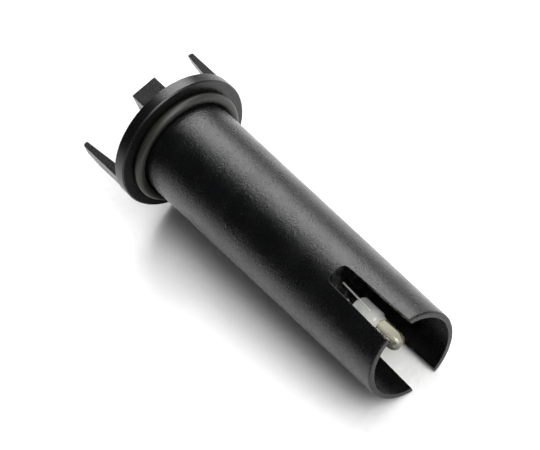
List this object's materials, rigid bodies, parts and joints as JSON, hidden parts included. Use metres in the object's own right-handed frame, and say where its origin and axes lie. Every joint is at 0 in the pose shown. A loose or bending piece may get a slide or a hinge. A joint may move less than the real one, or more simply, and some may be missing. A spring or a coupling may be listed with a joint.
{
  "type": "water quality probe",
  "caption": "Replaceable glass electrode module of a pocket water tester: slotted guard tube round a glass sensing bulb, flange with seal ring, locating key and side prongs.",
  "frame": {"origin": "centre of the flange's back face, which seats in the tester", "axes": "+X along the tube's axis to the open slotted mouth, +Z to the locating key and the upper slot, +Y to the left prong seen from the mouth with the key up"},
  "size_m": [0.0744, 0.0252, 0.0252],
  "materials": {
    "guard_plastic": "satin moulded",
    "head_plastic": "glossy moulded",
    "ring_rubber": "satin",
    "stem_glass": "clear polished",
    "bulb_glass": "clear polished",
    "buffer_gel": "translucent gel",
    "bulb_fill": "translucent liquid",
    "silver": "drawn wire",
    "silver_chloride": "matte coat",
    "plug_silicone": "matte",
    "grommet_rubber": "matte",
    "reference_gel": "translucent gel",
    "junction_ceramic": "porous unglazed",
    "epoxy": "cast",
    "board": "solder mask",
    "header_plastic": "moulded",
    "gold_plate": "plated",
    "solder": "bright"
  },
  "bodies": {
    "root": {"guard_tube": "guard_plastic", "flange_head": "head_plastic", "seal_ring": "ring_rubber", "glass_stem": "stem_glass", "sensing_bulb": "bulb_glass", "buffer_gel": "buffer_gel", "bulb_fill": "bulb_fill", "silver_wire": "silver", "chloride_tip": "silver_chloride", "stem_plug": "plug_silicone", "front_grommet": "grommet_rubber", "reference_gel": "reference_gel", "reference_wire": "silver", "reference_chloride": "silver_chloride", "junction_pin": "junction_ceramic", "rear_seal": "grommet_rubber", "potting": "epoxy", "contact_board": "board", "pin_header": "header_plastic", "contact_pins": "gold_plate", "solder_joints": "solder"}
  },
  "joints": []
}
